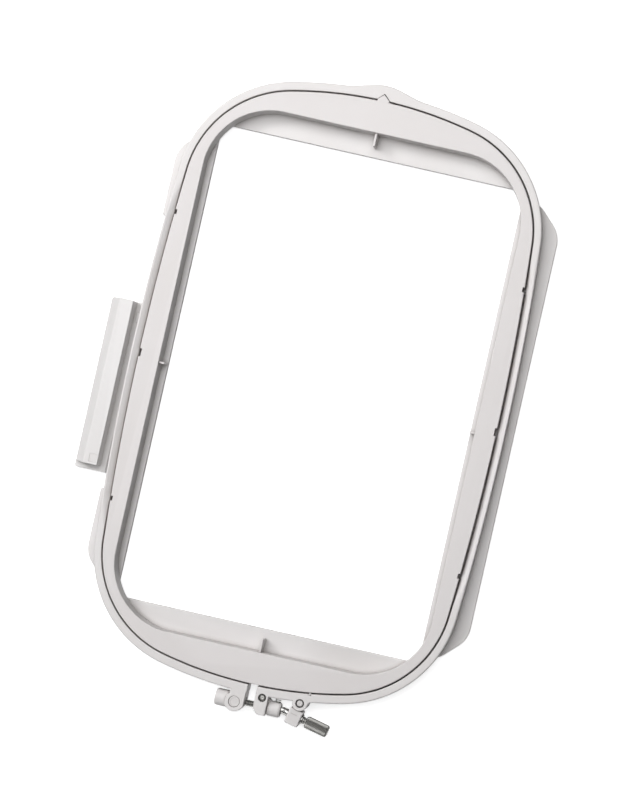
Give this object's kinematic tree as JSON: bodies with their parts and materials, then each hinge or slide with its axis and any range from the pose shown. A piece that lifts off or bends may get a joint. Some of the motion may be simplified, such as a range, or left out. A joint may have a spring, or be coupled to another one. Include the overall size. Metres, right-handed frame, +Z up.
{
  "type": "embroidery hoop",
  "caption": "Rectangular embroidery machine hoop: flanged outer hoop with a slide-in connector, lift-out inner hoop, and a thumbscrew clamp with a quick release.",
  "frame": {"origin": "centre of the two hoops, on the underside of the base flange", "axes": "+Y along the long side, away from the clamp; connector on the -X side; +Z up, the way the inner hoop lifts out"},
  "size_m": [0.2238, 0.342, 0.0116],
  "materials": {
    "outer_plastic": "fine-grained moulded plastic, warm light grey",
    "inner_plastic": "fine-grained moulded plastic, slightly darker warm grey",
    "connector_plastic": "fine-grained moulded plastic, warm light grey",
    "clamp_plastic": "smooth moulded plastic, light grey",
    "plated_steel": "bright nickel-plated steel",
    "dark_steel": "dark phosphated spring steel",
    "zinc_steel": "zinc-plated steel"
  },
  "bodies": {
    "outer": {"outer_frame": "outer_plastic", "connector_bracket": "connector_plastic", "connector_cover": "connector_plastic", "bracket_screws": "zinc_steel", "cover_screws": "zinc_steel", "guide_pin": "dark_steel", "guide_pin_ring": "dark_steel", "release_pin": "plated_steel", "release_pin_ring": "dark_steel", "return_spring": "plated_steel"},
    "inner": {"inner_frame": "inner_plastic"},
    "arm": {"clamp_arm": "outer_plastic"},
    "rod": {"swivel_nut": "clamp_plastic", "rod_sleeve": "clamp_plastic", "tension_rod": "plated_steel"},
    "guide": {"guide_sleeve": "clamp_plastic"},
    "release": {"release_block": "clamp_plastic", "fork_nut": "plated_steel", "knuckle_pin": "dark_steel", "thrust_washer": "clamp_plastic"},
    "screw": {"thumbscrew": "plated_steel"}
  },
  "joints": [
    {"name": "inner_hoop_lift", "type": "slide", "parent": "outer", "child": "inner", "axis": [0, 0, 1], "range_m": [0, 0.04]},
    {"name": "quick_release", "type": "hinge", "parent": "outer", "child": "release", "pos_m": [0.0266, -0.1613, 0.0055], "axis": [0, 0, -1], "range_deg": [0, 12]},
    {"name": "arm_flex", "type": "hinge", "parent": "outer", "child": "arm", "pos_m": [-0.0971, -0.07, 0.0069], "axis": [0, 0, -1], "range_deg": [0, 1]},
    {"name": "nut_swivel", "type": "hinge", "parent": "arm", "child": "rod", "pos_m": [-0.0073, -0.1678, 0.0055], "axis": [0, 0, 1], "range_deg": [0, 7]},
    {"name": "guide_swing", "type": "hinge", "parent": "outer", "child": "guide", "pos_m": [0.0067, -0.1627, 0.0055], "axis": [0, 0, 1], "range_deg": [0, 10], "deforming": ["return_spring"]},
    {"name": "thumbscrew_turn", "type": "hinge", "parent": "release", "child": "screw", "pos_m": [0.0188, -0.1678, 0.0055], "axis": [0.9744, -0.225, 0], "continuous": true}
  ],
  "couplings": [
    {"joint": "arm_flex", "follows": "quick_release", "ratio": 0.0552},
    {"joint": "nut_swivel", "follows": "quick_release", "ratio": 0.5286},
    {"joint": "guide_swing", "follows": "quick_release", "ratio": 0.8036}
  ]
}
